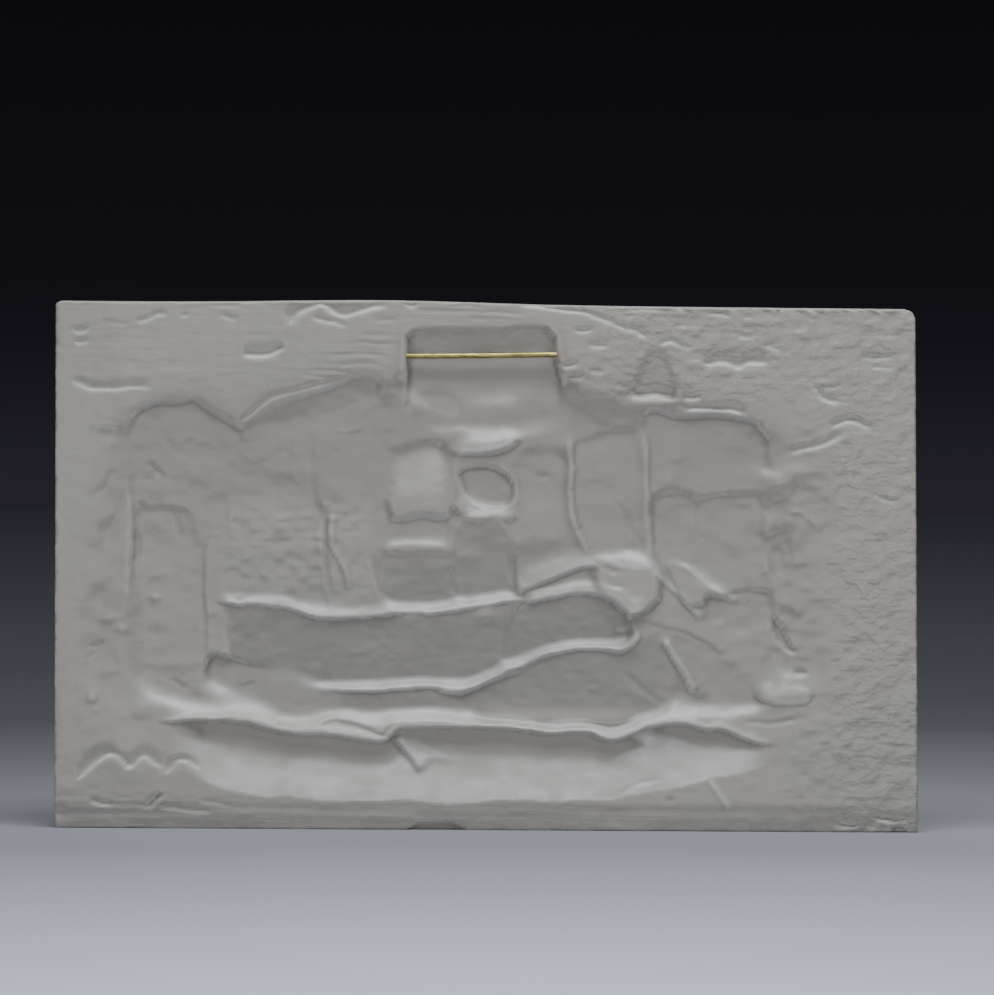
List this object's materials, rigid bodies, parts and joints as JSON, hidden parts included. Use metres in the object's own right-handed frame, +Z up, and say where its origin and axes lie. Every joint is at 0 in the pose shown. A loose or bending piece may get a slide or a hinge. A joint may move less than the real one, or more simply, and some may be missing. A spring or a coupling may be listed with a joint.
{
  "type": "cast plaster relief panel",
  "caption": "Rectangular cast plaster relief panel with a hollow, folded back, a recess near its top edge and a thin metal hanging bar across the recess.",
  "frame": {"origin": "middle of the underside, on the surface that the panel stands on", "axes": "+Z up, +X along the panel's length, the hollow back faces -Y and the carved front faces +Y"},
  "size_m": [0.4578, 0.04, 0.2803],
  "materials": {
    "plaster": "satin",
    "brass": "satin"
  },
  "bodies": {
    "root": {"relief_panel": "plaster", "hanging_bar": "brass"}
  },
  "joints": []
}
